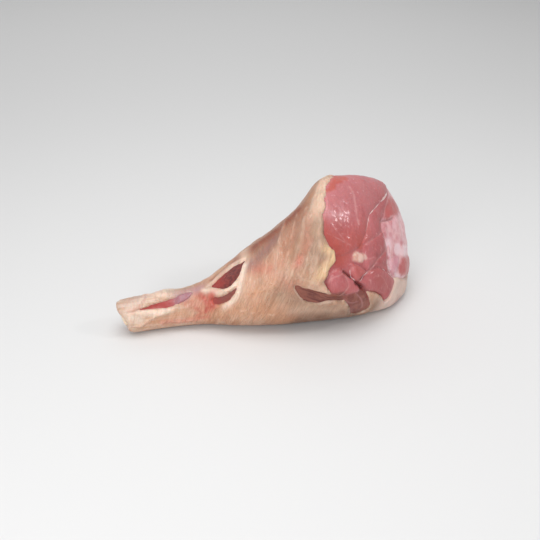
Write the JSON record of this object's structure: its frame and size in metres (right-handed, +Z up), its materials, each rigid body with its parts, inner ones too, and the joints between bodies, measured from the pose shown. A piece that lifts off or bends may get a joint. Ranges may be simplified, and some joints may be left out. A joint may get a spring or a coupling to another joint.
{
  "type": "raw lamb shank",
  "caption": "Raw lamb shank on the bone: thin sawn hock end, fat-covered leg with torn openings, and a domed oblique cut face of bare muscle.",
  "frame": {"origin": "under the middle of the shank's box, on the surface it lies on", "axes": "+X from the thin sawn hock end to the thick cut end, -Y to the front side that the cut face partly looks to, +Z up"},
  "size_m": [0.2797, 0.1139, 0.1248],
  "materials": {
    "fat": "moist creamy pink fat cover and membrane, softly translucent",
    "lean": "wet dusty rose-red muscle with fine pale fibres and seams"
  },
  "bodies": {
    "root": {"shank": "fat"}
  },
  "joints": []
}
